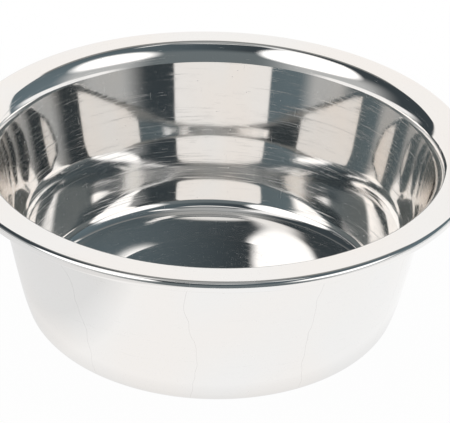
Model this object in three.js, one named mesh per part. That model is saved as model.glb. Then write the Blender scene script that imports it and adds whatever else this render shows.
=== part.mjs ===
// Metal pet bowl: one deep-drawn sheet-steel pressing with a flat rim and a rolled edge.
// Millimetres, +Z up. The origin is the centre of the base, on the surface that it stands on.
import * as THREE from 'three';

const { degToRad } = THREE.MathUtils;

// Driving dimensions
const RIM_DIAMETER = 210;
const BOWL_HEIGHT = 74.4;
const SHEET = 0.7;

// Rolled edge: the sheet curls under the rim and stops short of it
const BEAD_RADIUS = 2.4;
const CURL_GAP = 0.5;

// Rim and throat: a flat ring, a tight bend, and a wide bend that ends in a sharp crease
const RIM_FLAT_WIDTH = 7.8;
const THROAT_BEND = 3;
const COLLAR_BEND = 16.5;
const THROAT_DEPTH = 7.7;
const THROAT_LEAN = degToRad(17);
const CREASE_BACK_BEND = 0.5;

// Wall: straight from the crease down to the knee, then drawn in more and more to the foot
const WALL_LEAN = degToRad(11.6);
const KNEE_RISE = 6.9;
const KNEE_LEAN = degToRad(13);
const FOOT_RISE = 8.1;
const FOOT_LEAN = degToRad(18);

// Rounded corner between wall and floor, on the inside
const CORNER_BEND = 7.5;

// Facets
const TURN_SEGMENTS = 72;
const BEND_STEP = degToRad(18);

const LEVEL = 0;
const UPRIGHT = Math.PI / 2;
const FULL_TURN = 2 * Math.PI;

// A run of sheet that turns evenly from one heading to another. A heading of 0 points away from
// the bowl's axis. A left turn (positive) cups the upper face and a right turn rounds it over.
class Stretch {
  constructor(length, from, to = from) {
    this.length = length;
    this.from = from;
    this.to = to;
  }

  get turn() {
    return this.to - this.from;
  }

  // The straight line from one end of the stretch to the other
  get reach() {
    const halfTurn = this.turn / 2;
    const chord = halfTurn === 0 ? this.length : this.length * Math.sin(halfTurn) / halfTurn;
    const heading = this.from + halfTurn;
    return new THREE.Vector2(chord * Math.cos(heading), chord * Math.sin(heading));
  }

  // The first part of the stretch, for a share of its length
  upTo(share) {
    return new Stretch(this.length * share, this.from, this.from + this.turn * share);
  }
}

function bend(radius, from, to) {
  return new Stretch(radius * Math.abs(to - from), from, to);
}

function climb(rise, from, to = from) {
  const unit = new Stretch(1, from, to);
  return new Stretch(rise / unit.reach.y, from, to);
}

function totalReach(stretches) {
  return stretches.reduce((sum, stretch) => sum.add(stretch.reach), new THREE.Vector2());
}

// Headings where one stretch of the sheet meets the next. The wide bend of the collar passes
// into the tight bend of the throat where the two together fill the throat's depth.
const footHeading = UPRIGHT - FOOT_LEAN;
const kneeHeading = UPRIGHT - KNEE_LEAN;
const wallHeading = UPRIGHT - WALL_LEAN;
const collarHeading = UPRIGHT - THROAT_LEAN;
const depthLeft = THROAT_DEPTH - THROAT_BEND + COLLAR_BEND * Math.cos(collarHeading);
const shoulderHeading = Math.acos(depthLeft / (COLLAR_BEND - THROAT_BEND));

// The curl turns until its end clears the underside of the rim
const curlShortfall = Math.acos((BEAD_RADIUS - SHEET - CURL_GAP) / BEAD_RADIUS);
const curlHeading = curlShortfall - FULL_TURN;

// Stretches of known size, from the floor up to the rim
const corner = bend(CORNER_BEND, LEVEL, footHeading);
const foot = climb(FOOT_RISE, footHeading, kneeHeading);
const knee = climb(KNEE_RISE, kneeHeading, wallHeading);
const crease = bend(CREASE_BACK_BEND + SHEET, wallHeading, collarHeading);
const collar = bend(COLLAR_BEND, collarHeading, shoulderHeading);
const throat = bend(THROAT_BEND, shoulderHeading, LEVEL);
const rim = new Stretch(RIM_FLAT_WIDTH, LEVEL);
const curl = bend(BEAD_RADIUS, LEVEL, curlHeading);
const shaped = totalReach([corner, foot, knee, crease, collar, throat, rim]);

// The wall takes the rest of the bowl's height, and the floor takes the rest of its radius
const wall = climb(BOWL_HEIGHT - SHEET - shaped.y, wallHeading);
const floor = new Stretch(RIM_DIAMETER / 2 - BEAD_RADIUS - shaped.x - wall.reach.x, LEVEL);

const SHEET_STRETCHES = [floor, corner, foot, knee, wall, crease, collar, throat, rim, curl];

// Points along the upper face of the sheet, from the bowl's axis to the end of the curl
function stationsAlong(stretches) {
  const stations = [{ place: new THREE.Vector2(0, SHEET), heading: LEVEL }];
  for (const stretch of stretches) {
    const start = stations.at(-1).place;
    const steps = Math.max(1, Math.ceil(Math.abs(stretch.turn) / BEND_STEP));
    for (let step = 1; step <= steps; step += 1) {
      const part = stretch.upTo(step / steps);
      stations.push({ place: part.reach.add(start), heading: part.to });
    }
  }
  return stations;
}

// Out along the lower face, one sheet to the right of the walk, and back along the upper face
function bowlSection() {
  const stations = stationsAlong(SHEET_STRETCHES);
  const upperFace = stations.map(({ place }) => place);
  const lowerFace = stations.map(({ place, heading }) => new THREE.Vector2(
    place.x + SHEET * Math.sin(heading),
    place.y - SHEET * Math.cos(heading),
  ));
  return [...lowerFace, ...upperFace.reverse()];
}

// A section turned about the axis, with the axis stood upright
function turned(section) {
  const geometry = new THREE.LatheGeometry(section, TURN_SEGMENTS);
  return geometry.rotateX(UPRIGHT);
}

const polishedSteel = new THREE.MeshStandardMaterial({
  name: 'polished_steel',
  color: 0xf3efec,
  metalness: 1.0,
  roughness: 0.08,
});

const bowl = new THREE.Mesh(turned(bowlSection()), polishedSteel);
bowl.name = 'bowl';

const petBowl = new THREE.Group();
petBowl.name = 'pet_bowl';
petBowl.add(bowl);

export default petBowl;
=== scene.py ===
import math
from typing import NamedTuple

import bmesh
import bpy
from bpy.props import FloatProperty, FloatVectorProperty, IntProperty, PointerProperty
from mathutils import Matrix, Vector


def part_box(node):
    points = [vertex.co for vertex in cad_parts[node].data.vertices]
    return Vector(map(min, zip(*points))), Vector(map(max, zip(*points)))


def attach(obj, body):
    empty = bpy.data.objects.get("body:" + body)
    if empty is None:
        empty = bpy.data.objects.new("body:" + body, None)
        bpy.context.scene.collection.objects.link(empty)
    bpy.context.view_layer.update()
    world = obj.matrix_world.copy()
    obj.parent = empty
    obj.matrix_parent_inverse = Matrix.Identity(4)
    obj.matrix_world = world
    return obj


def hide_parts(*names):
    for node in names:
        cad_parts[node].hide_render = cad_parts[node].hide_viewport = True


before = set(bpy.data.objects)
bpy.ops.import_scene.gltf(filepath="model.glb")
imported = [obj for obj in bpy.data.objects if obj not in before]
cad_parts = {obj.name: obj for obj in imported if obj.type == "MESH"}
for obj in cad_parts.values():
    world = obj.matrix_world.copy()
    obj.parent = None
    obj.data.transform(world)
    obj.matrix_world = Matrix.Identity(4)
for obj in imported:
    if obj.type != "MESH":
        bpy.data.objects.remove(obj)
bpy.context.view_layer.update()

bl_info = {
    "name": "Pressed Steel Pet Bowl",
    "version": (1, 0, 0),
    "blender": (4, 5, 0),
    "location": "3D View > Sidebar > Pet Bowl",
    "description": "Presses a polished steel pet bowl from one sheet and sets it in a small photo studio",
    "category": "Add Mesh",
}

BOWL_LOW, BOWL_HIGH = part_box("bowl")

IMAGE_WIDTH = 450
SENSOR_WIDTH_MM = 36.0

UPRIGHT = math.pi / 2
FULL_TURN = 2 * math.pi

# A turn too small to see, which keeps the arc formula from dividing by zero on straight runs
HAIR_TURN = 1e-6
# The fine model keeps this far inside the box of the CAD model
BOX_MARGIN = 1e-6
# Points closer than this are one point: the seam of the turned sheet, and its two ends on the axis
WELD_DISTANCE = 1e-6
# The floor lies this far under the base, so that the two faces don't coincide
FLOOR_CLEARANCE = 0.0001
# The table reaches this far each way, and only its corners pass the wall of the round room
FLOOR_HALF = 3.9
ROOM_RADIUS = 4.0
ROOM_SEGMENTS = 96
ROOM_RINGS = 48
# Place across the room where it begins to lighten towards +X, as a share of its radius
ROOM_LIGHTENS = -0.2
# The painted shade at the left and the painted shadow by the foot of the mirrored table are full at the
# first share of the rim's radius and gone at the second
LEFT_PAINTED_SHADE_FADE = (0.82, 0.58)
FOOT_PAINTED_SHADOW_FADE = (0.66, 0.8)
# Light that has been mirrored this often inside the bowl is lost
MIRROR_BOUNCES = 16

# The stretches of the sheet in order from the axis, with the number of stations on each
STATIONS = {
    "Disc": 14,
    "Disc Edge": 6,
    "Disc Skirt": 12,
    "Floor": 6,
    "Corner": 22,
    "Foot": 10,
    "Knee": 6,
    "Wall Low": 6,
    "Waist Low": 8,
    "Waist High": 8,
    "Wall": 14,
    "Crease": 6,
    "Collar": 12,
    "Throat": 12,
    "Rim": 6,
    "Curl": 40,
}
FLOOR_STRETCHES = ("Disc", "Disc Edge", "Disc Skirt", "Floor")
# Stretches that add nothing to the height of the bowl
NOT_CLIMBING = (*FLOOR_STRETCHES, "Curl")

# Grain of the finish, as cells to a radian round the bowl and cells to a metre along the sheet
LINE_GRAIN = (4.0, 1900.0)
SCRATCH_GRAIN = (7.0, 2600.0)
UPRIGHT_SCRATCH_GRAIN = (190.0, 70.0)
SPECK_GRAIN = (40.0, 420.0)
HAIRLINE_GRAIN = (0.9, 13.0)
# Grain of the soft waves and the patches of colour, as cells to a metre
WAVE_GRAIN = 70.0
PATCH_GRAIN = 22.0

# Levels of noise between which an effect sets in
DULL_LEVELS = (0.3, 0.6)
BRUSHED_LEVELS = (0.57, 0.7)
PATCH_LEVELS = (0.35, 0.65)

# Scratches and specks: how much of its cell each one fills, and the share of cells that have one
SCRATCH_SIZE = 0.13
SCRATCH_SHARE = 0.14
UPRIGHT_SCRATCH_SHARE = 0.04
SPECK_SIZE = 0.1
SPECK_SHARE = 0.12
SPECK_SHARE_AT_WAIST = 0.6
# Distances from the waist where the ring of specks begins to thin out, and where it has done so
SPECK_RING = (0.0005, 0.0025)

# Thin lines up the outside: their number, and their wander and half width as shares of the spacing
HAIRLINES = 11
HAIRLINE_WANDER = 0.9
HAIRLINE_HALF_WIDTH = 0.0014

# Lengths of sheet over which the haze of the floor sets in at the disc and runs out by the corner
HAZE_ONSET = 0.0005
HAZE_FADE = 0.008


# Settings


def length(name, millimetres, description):
    return FloatProperty(name=name, description=description, default=millimetres / 1000, unit="LENGTH")


def angle(name, degrees, description):
    radians = math.radians(degrees)
    return FloatProperty(name=name, description=description, default=radians, subtype="ANGLE")


def factor(name, default, description):
    return FloatProperty(name=name, description=description, default=default, subtype="FACTOR")


def colour(name, default, description):
    return FloatVectorProperty(name=name, description=description, default=default, subtype="COLOR")


class BowlSizes(bpy.types.PropertyGroup):
    """Sizes of the pressing"""

    rim_diameter: FloatProperty(
        name="Rim Diameter",
        description="Diameter over the rolled edge",
        default=BOWL_HIGH.x - BOWL_LOW.x - BOX_MARGIN,
        unit="LENGTH",
    )
    height: FloatProperty(
        name="Height",
        description="Height from the base to the top of the rim",
        default=BOWL_HIGH.z - BOWL_LOW.z - BOX_MARGIN,
        unit="LENGTH",
    )
    sheet: length("Sheet", 0.7, "Thickness of the steel sheet")
    bead_radius: length("Bead Radius", 2.4, "Outer radius of the rolled edge")
    curl_gap: length("Curl Gap", 0.5, "Gap between the end of the curl and the underside of the rim")
    rim_width: length("Rim Width", 7.8, "Width of the flat ring between the throat and the rolled edge")
    throat_bend: length("Throat Bend", 3.0, "Radius of the tight bend from the rim into the throat")
    collar_bend: length("Collar Bend", 16.5, "Radius of the wide bend from the throat down to the crease")
    throat_depth: length("Throat Depth", 7.7, "Depth of the crease below the rim")
    throat_lean: angle("Throat Lean", 17.0, "Lean of the sheet just above the crease")
    crease_bend: length("Crease Bend", 1.2, "Radius of the crease on the inside of the bowl")
    wall_lean: angle("Wall Lean", 11.6, "Lean of the straight wall")
    waist_lean: angle("Waist Lean", 10.4, "Lean at the waist, where the wall is a little steeper")
    waist_height: length("Waist Height", 32.0, "Height of the waist over the base")
    waist_rise: length("Waist Rise", 11.0, "Height over which the wall turns steeper, and then back")
    knee_rise: length("Knee Rise", 5.5, "Height of the stretch where the straight wall begins to draw in")
    knee_lean: angle("Knee Lean", 13.0, "Lean at the foot of that stretch")
    foot_rise: length("Foot Rise", 8.1, "Height of the stretch between the knee and the corner")
    foot_lean: angle("Foot Lean", 18.0, "Lean of the sheet where the corner begins")
    corner_bend: length("Corner Bend", 7.5, "Inside radius of the corner between wall and floor")
    disc_radius: length("Disc Radius", 47.5, "Radius of the faint raised disc in the middle of the floor")
    disc_edge_bend: length("Disc Edge Bend", 3.0, "Radius of the bend round the edge of the disc")
    disc_slope: angle("Disc Slope", 6.0, "Slope of the floor just outside the disc")
    disc_skirt: length("Disc Skirt", 9.0, "Length over which that slope runs out into the level floor")
    turn_segments: IntProperty(
        name="Turn Segments",
        description="Panels in a full turn of the bowl",
        default=216,
        min=24,
    )


class SteelFinish(bpy.types.PropertyGroup):
    """Colour and polish of the steel"""

    warm_steel: colour("Warm Steel", (0.90, 0.872, 0.845), "Reflected colour of most of the steel")
    cool_steel: colour("Cool Steel", (0.885, 0.878, 0.868), "Reflected colour of its cooler patches")
    smooth: factor("Smoothest", 0.02, "Roughness of the best polished places")
    dull: factor("Dullest", 0.05, "Roughness along the polishing lines")
    brushed: factor("Brushed", 0.24, "Roughness of the deepest polishing lines")
    scratched: factor("Scratched", 0.28, "Roughness of specks and scratches")
    floor_haze: factor("Floor Haze", 0.11, "Roughness of the floor between the disc and the corner")
    hairline: factor("Hairline", 0.78, "Brightness of the thin lines that wander up the outside")
    line_depth: length("Line Depth", 0.001, "Depth of the fine polishing lines round the bowl")
    wave_depth: length("Wave Depth", 0.0015, "Depth of the soft waves that polishing leaves")


class StudioSetup(bpy.types.PropertyGroup):
    """Camera, floor and lights"""

    camera_distance: length("Camera Distance", 880.0, "Distance from the centre of the rim to the camera")
    camera_elevation: angle("Camera Elevation", 28.693, "Height of the camera over the rim, as an angle")
    camera_tilt: angle("Camera Tilt", 30.446, "How far the camera looks down")
    camera_pan: angle("Camera Pan", 0.349, "How far the camera looks to the right of the bowl's axis")
    camera_roll: angle("Camera Roll", 1.813, "Turn of the picture about the line of sight")
    focal_pixels: FloatProperty(
        name="Focal Length in Pixels",
        description="Focal length as a number of picture elements of the image",
        default=2196.6,
    )
    floor_colour: colour("Floor", (0.94, 0.94, 0.94), "Colour of the table that the bowl stands on")
    fill_near: factor("Fill by the Bowl", 0.97, "Share of plain white in the floor beside the bowl")
    fill_radius: length("Fill Radius", 260.0, "Distance from the axis where the floor is plain white")
    # Painted shade and painted shadow: the table as the steel mirrors it is dimmer at the left, and darker
    # by the bowl's foot
    left_painted_shade: factor("Tone at Left", 0.82, "Tone of the floor left of the bowl, as the steel mirrors it")
    foot_painted_shadow: factor("Tone at Foot", 0.82, "Tone of the floor by the bowl's foot, as the steel mirrors it")
    room_left: colour("Room Left", (0.044, 0.056, 0.064), "Colour of the left part of the dim room")
    room_right: colour("Room Right", (0.14, 0.187, 0.212), "Colour of the right part of the dim room")


class Glow(NamedTuple):
    """A soft patch of light on the wall of the room, in degrees as seen from the bowl"""

    azimuth: float
    elevation: float
    half_width: float
    half_height: float
    # Share of its size that is fully bright, and how square its corners are
    solid: float
    squareness: float
    colour: tuple


# Later glows lie over earlier ones. Azimuth counts from straight behind the bowl towards +X.
ROOM_GLOWS = {
    "ceiling": Glow(0, 90, 400, 20, solid=0.4, squareness=4, colour=(0.40, 0.41, 0.41)),
    "camera side": Glow(180, 18, 80, 32, solid=0.6, squareness=4, colour=(0.15, 0.175, 0.185)),
    "left spill": Glow(-116, 14, 46, 26, solid=0.3, squareness=4, colour=(0.50, 0.515, 0.52)),
    "right spill": Glow(116, 14, 32, 24, solid=0.35, squareness=4, colour=(0.50, 0.515, 0.52)),
    "left strip": Glow(-95, 7.5, 42, 5, solid=0.6, squareness=4, colour=(1.0, 1.0, 1.0)),
    "right strip": Glow(95, 7.5, 40, 5, solid=0.6, squareness=4, colour=(1.0, 1.0, 1.0)),
    "left halo": Glow(-116, 68, 32, 18, solid=0.35, squareness=2, colour=(1.0, 1.0, 1.0)),
    "right halo": Glow(117, 70, 12, 9, solid=0.4, squareness=2, colour=(1.2, 1.2, 1.2)),
    "high light": Glow(180, 68, 48, 3.6, solid=0.5, squareness=2.5, colour=(0.95, 0.95, 0.94)),
    "overhead": Glow(4, 56, 60, 26, solid=0.5, squareness=4, colour=(0.27, 0.275, 0.27)),
    "backdrop": Glow(5.5, 0, 50.5, 51, solid=0.95, squareness=10, colour=(1.0, 0.985, 0.97)),
    "left softbox": Glow(-125, 41, 34, 22, solid=0.78, squareness=2.2, colour=(1.4, 1.4, 1.4)),
    "right softbox": Glow(120, 36, 31, 15.5, solid=0.6, squareness=2.2, colour=(1.4, 1.4, 1.4)),
}


# Node trees


class NodeSketch:
    """Adds nodes to a tree, and links or sets their inputs as they are made."""

    def __init__(self, tree):
        self.tree = tree

    def node(self, kind, inputs=None, **settings):
        made = self.tree.nodes.new(kind)
        for name, value in settings.items():
            setattr(made, name, value)
        for name, value in (inputs or {}).items():
            self.feed(made.inputs[name], value)
        return made

    def feed(self, socket, value):
        if isinstance(value, bpy.types.NodeSocket):
            self.tree.links.new(value, socket)
        else:
            socket.default_value = value

    def math(self, operation, *values):
        made = self.node("ShaderNodeMath", operation=operation)
        for socket, value in zip(made.inputs, values):
            self.feed(socket, value)
        return made.outputs[0]

    def vector(self, x, y, z):
        return self.node("ShaderNodeCombineXYZ", {"X": x, "Y": y, "Z": z}).outputs[0]

    def split(self, vector):
        return self.node("ShaderNodeSeparateXYZ", {"Vector": vector}).outputs

    def between(self, value, low, high, start=0.0, end=1.0, fade="LINEAR"):
        """Start where the value is low, end where it is high, and a fade between them."""
        inputs = {"Value": value, "From Min": low, "From Max": high, "To Min": start, "To Max": end}
        return self.node("ShaderNodeMapRange", inputs, interpolation_type=fade).outputs[0]

    def blend(self, share, first, second):
        """One colour at share 0 and another at share 1."""
        ramp = self.node("ShaderNodeValToRGB", {"Fac": share})
        for stop, each in zip(ramp.color_ramp.elements, (first, second)):
            stop.color = (*each, 1.0)
        return ramp.outputs["Color"]

    def over(self, share, lower, upper):
        """One shader at share 0 and another at share 1."""
        made = self.node("ShaderNodeMixShader", {"Fac": share})
        self.feed(made.inputs[1], lower)
        self.feed(made.inputs[2], upper)
        return made.outputs[0]

    def distance(self, x, y):
        return self.math("SQRT", self.math("MULTIPLY_ADD", x, x, self.math("MULTIPLY", y, y)))


def node_tree(name, inputs, outputs):
    """A geometry tree with named sockets, its sketch, its input node and its output node."""
    tree = bpy.data.node_groups.new(name, "GeometryNodeTree")
    for in_out, sockets in (("INPUT", inputs), ("OUTPUT", outputs)):
        for socket_name, kind in sockets:
            tree.interface.new_socket(socket_name, in_out=in_out, socket_type="NodeSocket" + kind)
    sketch = NodeSketch(tree)
    return tree, sketch, sketch.node("NodeGroupInput").outputs, sketch.node("NodeGroupOutput").inputs


def arc_point(sketch, start, heading, arc_length, turn, share):
    """The point at a share of an arc's length, by the chord from the arc's start."""
    half_turn = sketch.math("MULTIPLY", sketch.math("MULTIPLY", turn, share), 0.5)
    safe_turn = sketch.math("ADD", half_turn, HAIR_TURN)
    narrowing = sketch.math("DIVIDE", sketch.math("SINE", safe_turn), safe_turn)
    chord = sketch.math("MULTIPLY", sketch.math("MULTIPLY", arc_length, share), narrowing)
    direction = sketch.math("ADD", heading, half_turn)
    out = sketch.math("MULTIPLY", chord, sketch.math("COSINE", direction))
    up = sketch.math("MULTIPLY", chord, sketch.math("SINE", direction))
    made = sketch.node("ShaderNodeVectorMath", operation="ADD")
    sketch.feed(made.inputs[0], start)
    sketch.feed(made.inputs[1], sketch.vector(out, 0.0, up))
    return made.outputs[0]


def stored(sketch, geometry, name, value):
    """The geometry with a number kept on each of its points."""
    inputs = {"Geometry": geometry, "Name": name, "Value": value}
    made = sketch.node("GeometryNodeStoreNamedAttribute", inputs, data_type="FLOAT", domain="POINT")
    return made.outputs[0]


def recalled(sketch, name):
    """A number that was kept on each point under this name."""
    made = sketch.node("GeometryNodeInputNamedAttribute", {"Name": name}, data_type="FLOAT")
    return made.outputs[0]


def stretch_tree():
    """A run of sheet that turns evenly along its length, as a line of stations after its start."""
    tree, sketch, given, result = node_tree(
        "Sheet Stretch",
        [("Start", "Vector"), ("Heading", "Float"), ("Travel", "Float"),
         ("Length", "Float"), ("Turn", "Float"), ("Steps", "Int")],
        [("Line", "Geometry"), ("End", "Vector"), ("End Heading", "Float"), ("End Travel", "Float")],
    )
    number = sketch.math("ADD", sketch.node("GeometryNodeInputIndex").outputs[0], 1.0)
    share = sketch.math("DIVIDE", number, given["Steps"])
    walk = (given["Start"], given["Heading"], given["Length"], given["Turn"])
    line = sketch.node("GeometryNodeMeshLine", {"Count": given["Steps"]}).outputs[0]
    place = arc_point(sketch, *walk, share)
    line = sketch.node("GeometryNodeSetPosition", {"Geometry": line, "Position": place}).outputs[0]
    heading = sketch.math("MULTIPLY_ADD", given["Turn"], share, given["Heading"])
    travel = sketch.math("MULTIPLY_ADD", given["Length"], share, given["Travel"])
    line = stored(sketch, line, "heading", heading)
    sketch.feed(result["Line"], stored(sketch, line, "travel", travel))
    sketch.feed(result["End"], arc_point(sketch, *walk, 1.0))
    sketch.feed(result["End Heading"], sketch.math("ADD", given["Heading"], given["Turn"]))
    sketch.feed(result["End Travel"], sketch.math("ADD", given["Travel"], given["Length"]))
    return tree


def section_line(sketch, given):
    """The upper face of the sheet from the axis to the end of the curl, as points in order of travel."""
    stretch = stretch_tree()
    start = sketch.vector(0.0, 0.0, given["Start Height"])
    axis = sketch.node("GeometryNodeMeshLine", {"Count": 1, "Start Location": start}).outputs[0]
    lines = [stored(sketch, stored(sketch, axis, "heading", 0.0), "travel", 0.0)]
    walk = {"Start": start, "Heading": 0.0, "Travel": 0.0}
    for name in STATIONS:
        sizes = {size: given[f"{name} {size}"] for size in ("Length", "Turn", "Steps")}
        run = sketch.node("GeometryNodeGroup", node_tree=stretch)
        for socket, value in {**walk, **sizes}.items():
            sketch.feed(run.inputs[socket], value)
        lines.append(run.outputs["Line"])
        walk = {size: run.outputs["End" if size == "Start" else f"End {size}"] for size in walk}
    joined = sketch.node("GeometryNodeJoinGeometry")
    for line in lines:
        sketch.feed(joined.inputs[0], line)
    weight = recalled(sketch, "travel")
    inputs = {"Geometry": joined.outputs[0], "Sort Weight": weight}
    return sketch.node("GeometryNodeSortElements", inputs, domain="POINT").outputs[0]


def sampled(sketch, geometry, value, index, data_type):
    """The value on one point of a geometry, found by the number of the point."""
    inputs = {"Geometry": geometry, "Value": value, "Index": index}
    return sketch.node("GeometryNodeSampleIndex", inputs, data_type=data_type, domain="POINT").outputs[0]


def sheet_point(sketch, section, station, thickness):
    """Radius and height of a station, after a move down through the sheet by a thickness."""
    position = sketch.node("GeometryNodeInputPosition").outputs[0]
    place = sampled(sketch, section, position, station, "FLOAT_VECTOR")
    heading = sampled(sketch, section, recalled(sketch, "heading"), station, "FLOAT")
    radius, _, height = sketch.split(place)
    radius = sketch.math("MULTIPLY_ADD", thickness, sketch.math("SINE", heading), radius)
    drop = sketch.math("MULTIPLY", thickness, sketch.math("COSINE", heading))
    # Rounding must not take the base under the table
    height = sketch.math("MAXIMUM", sketch.math("SUBTRACT", height, drop), 0.0)
    return radius, height


def pressed_sheet(sketch, grid, places, material):
    """The grid moved to its places in the bowl, closed, smooth and with its material."""
    sheet = sketch.node("GeometryNodeSetPosition", {"Geometry": grid, "Position": places}).outputs[0]
    inputs = {"Geometry": sheet, "Distance": WELD_DISTANCE}
    welded = sketch.node("GeometryNodeMergeByDistance", inputs).outputs[0]
    smooth = sketch.node("GeometryNodeSetShadeSmooth", {"Geometry": welded}).outputs[0]
    real = sketch.node("GeometryNodeRealizeInstances", {"Geometry": smooth}).outputs[0]
    inputs = {"Geometry": real, "Material": material}
    return sketch.node("GeometryNodeSetMaterial", inputs).outputs[0]


def bowl_tree():
    """The section turned about the axis: out along the lower face, back along the upper face."""
    stretch_sockets = [
        (f"{name} {size}", kind)
        for name in STATIONS
        for size, kind in (("Length", "Float"), ("Turn", "Float"), ("Steps", "Int"))
    ]
    tree, sketch, given, result = node_tree(
        "Pressed Bowl",
        [("Start Height", "Float"), ("Sheet", "Float"), *stretch_sockets,
         ("Turn Segments", "Int"), ("Material", "Material")],
        [("Geometry", "Geometry")],
    )
    section = section_line(sketch, given)
    size = sketch.node("GeometryNodeAttributeDomainSize", {"Geometry": section}, component="MESH")
    stations = size.outputs["Point Count"]
    last_row = sketch.math("MULTIPLY_ADD", stations, 2.0, -1.0)

    # A grid with unit steps, whose rows run along the section and whose columns run round the bowl
    inputs = {
        "Size X": last_row,
        "Size Y": given["Turn Segments"],
        "Vertices X": sketch.math("ADD", last_row, 1.0),
        "Vertices Y": sketch.math("ADD", given["Turn Segments"], 1.0),
    }
    grid = sketch.node("GeometryNodeMeshGrid", inputs).outputs["Mesh"]
    x, y, _ = sketch.split(sketch.node("GeometryNodeInputPosition").outputs[0])
    row = sketch.math("ROUND", sketch.math("MULTIPLY_ADD", last_row, 0.5, x))
    column = sketch.math("MULTIPLY_ADD", given["Turn Segments"], 0.5, y)

    # Rows past the edge of the sheet come back along the upper face
    on_lower = sketch.math("LESS_THAN", row, stations)
    station = sketch.math("MINIMUM", row, sketch.math("SUBTRACT", last_row, row))
    thickness = sketch.math("MULTIPLY", given["Sheet"], on_lower)
    radius, height = sheet_point(sketch, section, station, thickness)

    # The section turns clockwise, so that every face looks out of the sheet
    turned = sketch.math("DIVIDE", column, given["Turn Segments"])
    bearing = sketch.math("MULTIPLY", turned, -FULL_TURN)
    places = sketch.vector(
        sketch.math("MULTIPLY", radius, sketch.math("COSINE", bearing)),
        sketch.math("MULTIPLY", radius, sketch.math("SINE", bearing)),
        height,
    )
    travel = sampled(sketch, section, recalled(sketch, "travel"), station, "FLOAT")
    grid = stored(sketch, grid, "travel", travel)
    grid = stored(sketch, grid, "outside", on_lower)
    sketch.feed(result["Geometry"], pressed_sheet(sketch, grid, places, given["Material"]))
    return tree


# Bowl


class Stretch(NamedTuple):
    """A run of sheet that turns evenly from one heading to another"""

    length: float
    start: float
    end: float

    @property
    def turn(self):
        return self.end - self.start

    @property
    def chord(self):
        half_turn = self.turn / 2
        return self.length * math.sin(half_turn) / half_turn if half_turn else self.length

    @property
    def run(self):
        return self.chord * math.cos((self.start + self.end) / 2)

    @property
    def rise(self):
        return self.chord * math.sin((self.start + self.end) / 2)


def bent(radius, start, end):
    """A stretch that turns from one heading to another on a given radius."""
    return Stretch(radius * abs(end - start), start, end)


def risen(rise, start, end):
    """A stretch that turns from one heading to another while it rises by a given height."""
    return Stretch(rise / Stretch(1.0, start, end).rise, start, end)


def section_stretches(sizes):
    """The stretches of the sheet by name, from the sizes of the bowl."""
    foot = UPRIGHT - sizes.foot_lean
    knee = UPRIGHT - sizes.knee_lean
    wall = UPRIGHT - sizes.wall_lean
    waist = UPRIGHT - sizes.waist_lean
    collar = UPRIGHT - sizes.throat_lean

    # The wide bend of the collar passes into the tight bend of the throat where both fill the depth
    spare_depth = sizes.throat_depth - sizes.throat_bend + sizes.collar_bend * math.cos(collar)
    shoulder = math.acos(spare_depth / (sizes.collar_bend - sizes.throat_bend))
    # The curl turns until its end clears the underside of the rim
    curl_clearance = (sizes.bead_radius - sizes.sheet - sizes.curl_gap) / sizes.bead_radius
    curl = math.acos(curl_clearance) - FULL_TURN

    stretches = {
        "Disc": Stretch(sizes.disc_radius, 0.0, 0.0),
        "Disc Edge": bent(sizes.disc_edge_bend, 0.0, -sizes.disc_slope),
        "Disc Skirt": Stretch(sizes.disc_skirt, -sizes.disc_slope, 0.0),
        "Corner": bent(sizes.corner_bend, 0.0, foot),
        "Foot": risen(sizes.foot_rise, foot, knee),
        "Knee": risen(sizes.knee_rise, knee, wall),
        "Waist Low": risen(sizes.waist_rise, wall, waist),
        "Waist High": risen(sizes.waist_rise, waist, wall),
        "Crease": bent(sizes.crease_bend, wall, collar),
        "Collar": bent(sizes.collar_bend, collar, shoulder),
        "Throat": bent(sizes.throat_bend, shoulder, 0.0),
        "Rim": Stretch(sizes.rim_width, 0.0, 0.0),
        "Curl": bent(sizes.bead_radius, 0.0, curl),
    }
    # Straight wall fills the height below and above the waist, and the floor fills the rest of the radius
    below_waist = sizes.waist_height - sizes.waist_rise - sizes.sheet
    below_waist -= sum(stretches[name].rise for name in ("Corner", "Foot", "Knee"))
    stretches["Wall Low"] = risen(below_waist, wall, wall)
    rises = sum(each.rise for name, each in stretches.items() if name not in NOT_CLIMBING)
    stretches["Wall"] = risen(sizes.height - sizes.sheet - rises, wall, wall)
    runs = sum(each.run for name, each in stretches.items() if name != "Curl")
    stretches["Floor"] = Stretch(sizes.rim_diameter / 2 - sizes.bead_radius - runs, 0.0, 0.0)
    return stretches


def plain_mesh(name, tree, values):
    """The mesh that a geometry tree makes from these named inputs, as an object without modifiers."""
    blank = bpy.data.objects.new(name + "_nodes", bpy.data.meshes.new(name + "_nodes"))
    bpy.context.scene.collection.objects.link(blank)
    modifier = blank.modifiers.new("Pressing", "NODES")
    modifier.node_group = tree
    sockets = {item.name: item.identifier for item in tree.interface.items_tree if item.in_out == "INPUT"}
    for socket_name, value in values.items():
        modifier[sockets[socket_name]] = value
    depsgraph = bpy.context.evaluated_depsgraph_get()
    mesh = bpy.data.meshes.new_from_object(blank.evaluated_get(depsgraph))
    mesh.name = name
    blank.modifiers.remove(modifier)
    bpy.data.objects.remove(blank)
    piece = bpy.data.objects.new(name, mesh)
    bpy.context.scene.collection.objects.link(piece)
    return piece


# Steel


def blank_material(name):
    """A new material with an empty node tree, and a sketch for it."""
    material = bpy.data.materials.new(name)
    material.use_nodes = True
    material.node_tree.nodes.clear()
    return material, NodeSketch(material.node_tree)


def object_place(sketch):
    return sketch.node("ShaderNodeTexCoord").outputs["Object"]


def point_value(sketch, name):
    """A number that the geometry tree kept on each point of the sheet."""
    return sketch.node("ShaderNodeAttribute", attribute_name=name).outputs["Fac"]


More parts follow.
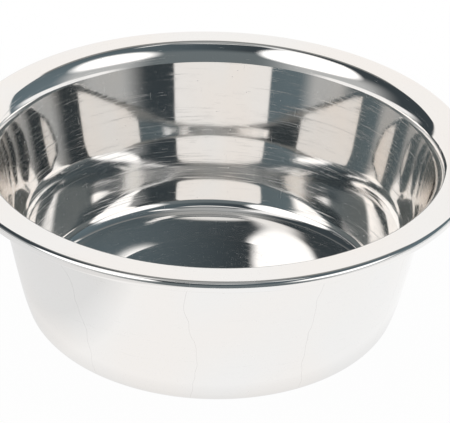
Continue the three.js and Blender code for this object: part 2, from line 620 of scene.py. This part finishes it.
def on_the_sheet(sketch, around, along):
    """Coordinates that follow the sheet: round the bowl, and along its section from the axis."""
    x, y, _ = sketch.split(object_place(sketch))
    radius = sketch.math("MAXIMUM", sketch.distance(x, y), WELD_DISTANCE)
    travel = point_value(sketch, "travel")
    return sketch.vector(
        sketch.math("MULTIPLY", sketch.math("DIVIDE", x, radius), around),
        sketch.math("MULTIPLY", sketch.math("DIVIDE", y, radius), around),
        sketch.math("MULTIPLY", travel, along),
    )


def noise(sketch, vector, scale=1.0, detail=2.0):
    inputs = {"Vector": vector, "Scale": scale, "Detail": detail}
    return sketch.node("ShaderNodeTexNoise", inputs).outputs[0]


def flecks(sketch, vector, size, share):
    """1 on small spots that lie scattered in the given coordinates, and 0 elsewhere."""
    cells = sketch.node("ShaderNodeTexVoronoi", {"Vector": vector, "Scale": 1.0})
    chosen = sketch.math("LESS_THAN", sketch.split(cells.outputs["Color"])[0], share)
    return sketch.math("MULTIPLY", sketch.math("LESS_THAN", cells.outputs["Distance"], size), chosen)


def bumped(sketch, height, depth, normal=None):
    """The normal of the surface, or a given normal, tipped by a pattern of heights."""
    inputs = {"Height": height, "Distance": depth, "Strength": 1.0}
    if normal:
        inputs["Normal"] = normal
    return sketch.node("ShaderNodeBump", inputs).outputs[0]


def hairline_mask(sketch):
    """1 on a few thin lines that wander up the sheet, spaced unevenly round the bowl."""
    x, y, _ = sketch.split(object_place(sketch))
    around = sketch.math("MULTIPLY", sketch.math("ARCTAN2", y, x), HAIRLINES / FULL_TURN)
    wander = noise(sketch, on_the_sheet(sketch, *HAIRLINE_GRAIN), detail=4.0)
    phase = sketch.math("FRACT", sketch.math("MULTIPLY_ADD", wander, HAIRLINE_WANDER, around))
    return sketch.math("COMPARE", phase, 0.5, HAIRLINE_HALF_WIDTH)


def scratch_mask(sketch):
    """1 on fine scratches: many that run round the bowl, and a few that run up the sheet."""
    round_grain = on_the_sheet(sketch, *SCRATCH_GRAIN)
    upright_grain = on_the_sheet(sketch, *UPRIGHT_SCRATCH_GRAIN)
    round_scratches = flecks(sketch, round_grain, SCRATCH_SIZE, SCRATCH_SHARE)
    upright_scratches = flecks(sketch, upright_grain, SCRATCH_SIZE, UPRIGHT_SCRATCH_SHARE)
    return sketch.math("MAXIMUM", round_scratches, upright_scratches)


def speck_mask(sketch, waist_height):
    """1 on specks, which lie everywhere and closest together in a ring round the waist."""
    _, _, z = sketch.split(object_place(sketch))
    from_waist = sketch.math("ABSOLUTE", sketch.math("SUBTRACT", z, waist_height))
    share = sketch.between(from_waist, *SPECK_RING, SPECK_SHARE_AT_WAIST, SPECK_SHARE)
    return flecks(sketch, on_the_sheet(sketch, *SPECK_GRAIN), SPECK_SIZE, share)


def haze(sketch, roughness, disc_radius, corner_start):
    """A roughness on the floor between the disc and the corner, and 0 elsewhere."""
    travel = point_value(sketch, "travel")
    past_disc = sketch.between(travel, disc_radius, disc_radius + HAZE_ONSET, 0.0, roughness)
    before_corner = sketch.between(travel, corner_start - HAZE_FADE, corner_start, 1.0, 0.0)
    return sketch.math("MULTIPLY", past_disc, before_corner)


def polished_steel(finish, sizes, corner_start):
    """Mirror-polished sheet steel with polishing lines, soft waves, hairlines, scratches and specks."""
    material, sketch = blank_material("polished_steel")
    place = object_place(sketch)
    lines = noise(sketch, on_the_sheet(sketch, *LINE_GRAIN), detail=4.0)
    waves = noise(sketch, place, scale=WAVE_GRAIN, detail=1.0)
    patches = noise(sketch, place, scale=PATCH_GRAIN, detail=1.0)

    # The roughest of these wins at each place
    worn = sketch.math("MAXIMUM", scratch_mask(sketch), speck_mask(sketch, sizes.waist_height))
    roughness = sketch.between(lines, *DULL_LEVELS, finish.smooth, finish.dull)
    for rougher in (
        sketch.between(lines, *BRUSHED_LEVELS, 0.0, finish.brushed),
        haze(sketch, finish.floor_haze, sizes.disc_radius, corner_start),
        sketch.math("MULTIPLY", worn, finish.scratched),
    ):
        roughness = sketch.math("MAXIMUM", roughness, rougher)

    normal = bumped(sketch, waves, finish.wave_depth)
    normal = bumped(sketch, lines, finish.line_depth, normal)
    tint = sketch.blend(sketch.between(patches, *PATCH_LEVELS), finish.warm_steel, finish.cool_steel)
    hairlines = sketch.math("MULTIPLY", hairline_mask(sketch), point_value(sketch, "outside"))
    shade = sketch.between(hairlines, 0.0, 1.0, 1.0, finish.hairline)
    inputs = {
        "Base Color": sketch.node("ShaderNodeHueSaturation", {"Color": tint, "Value": shade}).outputs[0],
        "Metallic": 1.0,
        "Roughness": roughness,
        "Normal": normal,
    }
    steel = sketch.node("ShaderNodeBsdfPrincipled", inputs)
    sketch.node("ShaderNodeOutputMaterial", {"Surface": steel.outputs[0]})
    return material


class PETBOWL_OT_press_bowl(bpy.types.Operator):
    """Press the bowl from one sheet of polished steel"""

    bl_idname = "petbowl.press_bowl"
    bl_label = "Press Bowl"

    def execute(self, context):
        sizes = context.scene.pet_bowl_sizes
        stretches = section_stretches(sizes)
        disc_height = -stretches["Disc Edge"].rise - stretches["Disc Skirt"].rise
        corner_start = sum(stretches[name].length for name in FLOOR_STRETCHES)
        values = {
            "Start Height": sizes.sheet + disc_height,
            "Sheet": sizes.sheet,
            "Turn Segments": sizes.turn_segments,
            "Material": polished_steel(context.scene.pet_bowl_finish, sizes, corner_start),
        }
        for name, stretch in stretches.items():
            values[f"{name} Length"] = stretch.length
            values[f"{name} Turn"] = stretch.turn
            values[f"{name} Steps"] = STATIONS[name]
        bowl = plain_mesh("pressed_bowl", bowl_tree(), values)
        if not bowl.data.polygons:
            raise RuntimeError("the bowl's section made no faces; check the sizes")
        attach(bowl, "root")
        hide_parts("bowl")
        return {"FINISHED"}


# Stage


def emission(sketch, light, strength=1.0):
    return sketch.node("ShaderNodeEmission", {"Color": light, "Strength": strength}).outputs[0]


def glow_share(sketch, azimuth, elevation, glow):
    """1 in the middle of a glow, fading to 0 at its rounded edge."""
    total = 0.0
    for direction, middle, half in (
        (azimuth, glow.azimuth, glow.half_width),
        (elevation, glow.elevation, glow.half_height),
    ):
        offset = sketch.math("SUBTRACT", direction, math.radians(middle))
        offset = sketch.math("WRAP", offset, math.pi, -math.pi)
        share = sketch.math("ABSOLUTE", sketch.math("DIVIDE", offset, math.radians(half)))
        total = sketch.math("ADD", sketch.math("POWER", share, glow.squareness), total)
    edge = sketch.math("POWER", total, 1 / glow.squareness)
    return sketch.between(edge, glow.solid, 1.0, 1.0, 0.0, fade="SMOOTHSTEP")


def room_material(studio):
    """A dim room, lighter to the right, with a white backdrop and soft lights on its wall."""
    material, sketch = blank_material("studio_room")
    x, y, z = sketch.split(object_place(sketch))
    azimuth = sketch.math("ARCTAN2", x, y)
    elevation = sketch.math("ARCTAN2", z, sketch.distance(x, y))
    side = sketch.between(x, ROOM_LIGHTENS * ROOM_RADIUS, ROOM_RADIUS)
    shine = emission(sketch, sketch.blend(side, studio.room_left, studio.room_right))
    for glow in ROOM_GLOWS.values():
        share = glow_share(sketch, azimuth, elevation, glow)
        shine = sketch.over(share, shine, emission(sketch, (*glow.colour, 1.0)))
    sketch.node("ShaderNodeOutputMaterial", {"Surface": shine})
    return material


def floor_material(studio):
    """Pale table top that fades to plain white away from the bowl and keeps its shadow beside it."""
    material, sketch = blank_material("table_white")
    x, y, _ = sketch.split(object_place(sketch))
    path = sketch.node("ShaderNodeLightPath").outputs
    mirrored = sketch.math("MAXIMUM", path["Is Glossy Ray"], path["Is Transmission Ray"])
    seen = sketch.math("MAXIMUM", path["Is Camera Ray"], mirrored)
    radius = sketch.distance(x, y)
    white_share = sketch.between(radius, BOWL_HIGH.x / 2, studio.fill_radius, studio.fill_near, 1.0)
    # The camera sees an even white. The steel mirrors a table with painted shade at the left and a painted
    # shadow by the foot.
    left_shade_fade = [share * BOWL_LOW.x for share in LEFT_PAINTED_SHADE_FADE]
    foot_shadow_fade = [share * BOWL_HIGH.x for share in FOOT_PAINTED_SHADOW_FADE]
    left = sketch.between(x, *left_shade_fade, studio.left_painted_shade, 1.0)
    foot = sketch.between(radius, *foot_shadow_fade, studio.foot_painted_shadow, 1.0)
    # Painted shade at the left and painted shadow by the foot, seen only by mirrored rays
    painted_shade = sketch.math("MAXIMUM", sketch.math("MULTIPLY", left, foot), path["Is Camera Ray"])
    paint = sketch.node("ShaderNodeBsdfDiffuse", {"Color": (*studio.floor_colour, 1.0)}).outputs[0]
    white = emission(sketch, (1.0, 1.0, 1.0, 1.0), painted_shade)
    surface = sketch.over(sketch.math("MULTIPLY", seen, white_share), paint, white)
    sketch.node("ShaderNodeOutputMaterial", {"Surface": surface})
    return material


def stage_object(name, mesh, material):
    """A mesh with its material, as an object that belongs to the stage."""
    mesh.materials.append(material)
    made = bpy.data.objects.new(name, mesh)
    bpy.context.scene.collection.objects.link(made)
    return made


def lay_table(studio):
    """A wide flat table, just under the base of the bowl."""
    corners = ((-1, -1), (1, -1), (1, 1), (-1, 1))
    mesh = bpy.data.meshes.new("table")
    places = [(x * FLOOR_HALF, y * FLOOR_HALF, -FLOOR_CLEARANCE) for x, y in corners]
    mesh.from_pydata(places, [], [(0, 1, 2, 3)])
    stage_object("table", mesh, floor_material(studio))


def build_room(studio):
    """The room around the table, seen only by reflection."""
    mesh = bpy.data.meshes.new("studio_room")
    shell = bmesh.new()
    sizes = {"u_segments": ROOM_SEGMENTS, "v_segments": ROOM_RINGS, "radius": ROOM_RADIUS}
    bmesh.ops.create_uvsphere(shell, **sizes)
    shell.to_mesh(mesh)
    shell.free()
    stage_object("studio_room", mesh, room_material(studio)).visible_camera = False


def white_world():
    """White beyond the table, wherever the camera looks past it."""
    world = bpy.data.worlds.new("studio_white")
    world.use_nodes = True
    world.node_tree.nodes["Background"].inputs["Color"].default_value = (1.0, 1.0, 1.0, 1.0)
    bpy.context.scene.world = world


def place_camera(studio, rim_height):
    """The camera, aimed by its own tilt and pan and rolled about its line of sight."""
    level = math.cos(studio.camera_tilt)
    forward = Vector((
        math.sin(studio.camera_pan) * level,
        math.cos(studio.camera_pan) * level,
        -math.sin(studio.camera_tilt),
    ))
    right = forward.cross(Vector((0.0, 0.0, 1.0))).normalized()
    roll = Matrix.Rotation(studio.camera_roll, 3, -forward)
    right = roll @ right
    above = right.cross(forward)
    back = -studio.camera_distance * math.cos(studio.camera_elevation)
    up = rim_height + studio.camera_distance * math.sin(studio.camera_elevation)
    lens = bpy.data.cameras.new("photo_camera")
    lens.sensor_fit = "HORIZONTAL"
    lens.sensor_width = SENSOR_WIDTH_MM
    lens.lens = SENSOR_WIDTH_MM * studio.focal_pixels / IMAGE_WIDTH
    camera = bpy.data.objects.new("photo_camera", lens)
    axes = Matrix((right, above, -forward)).transposed().to_4x4()
    camera.matrix_world = Matrix.Translation((0.0, back, up)) @ axes
    bpy.context.scene.collection.objects.link(camera)
    bpy.context.scene.camera = camera


class PETBOWL_OT_set_stage(bpy.types.Operator):
    """Set up the camera, the table and the lit room around it"""

    bl_idname = "petbowl.set_stage"
    bl_label = "Set Stage"

    def execute(self, context):
        scene = context.scene
        studio = scene.pet_bowl_studio
        scene.view_settings.view_transform = "Standard"
        scene.cycles.max_bounces = MIRROR_BOUNCES
        scene.cycles.glossy_bounces = MIRROR_BOUNCES
        place_camera(studio, BOWL_HIGH.z)
        white_world()
        build_room(studio)
        lay_table(studio)
        return {"FINISHED"}


class PETBOWL_PT_sidebar(bpy.types.Panel):
    """Sizes, finish and studio of the bowl, and the steps that make it"""

    bl_label = "Pet Bowl"
    bl_idname = "PETBOWL_PT_sidebar"
    bl_space_type = "VIEW_3D"
    bl_region_type = "UI"
    bl_category = "Pet Bowl"

    def draw(self, context):
        scene = context.scene
        for operator in (PETBOWL_OT_press_bowl, PETBOWL_OT_set_stage):
            self.layout.operator(operator.bl_idname)
        for group in (scene.pet_bowl_sizes, scene.pet_bowl_finish, scene.pet_bowl_studio):
            box = self.layout.box()
            for name in group.__annotations__:
                box.prop(group, name)


CLASSES = (
    BowlSizes,
    SteelFinish,
    StudioSetup,
    PETBOWL_OT_press_bowl,
    PETBOWL_OT_set_stage,
    PETBOWL_PT_sidebar,
)


def register():
    for each in CLASSES:
        bpy.utils.register_class(each)
    bpy.types.Scene.pet_bowl_sizes = PointerProperty(type=BowlSizes)
    bpy.types.Scene.pet_bowl_finish = PointerProperty(type=SteelFinish)
    bpy.types.Scene.pet_bowl_studio = PointerProperty(type=StudioSetup)


def unregister():
    del bpy.types.Scene.pet_bowl_studio
    del bpy.types.Scene.pet_bowl_finish
    del bpy.types.Scene.pet_bowl_sizes
    for each in reversed(CLASSES):
        bpy.utils.unregister_class(each)


def main():
    register()
    bpy.ops.petbowl.set_stage()
    bpy.ops.petbowl.press_bowl()


if __name__ == "__main__":
    main()
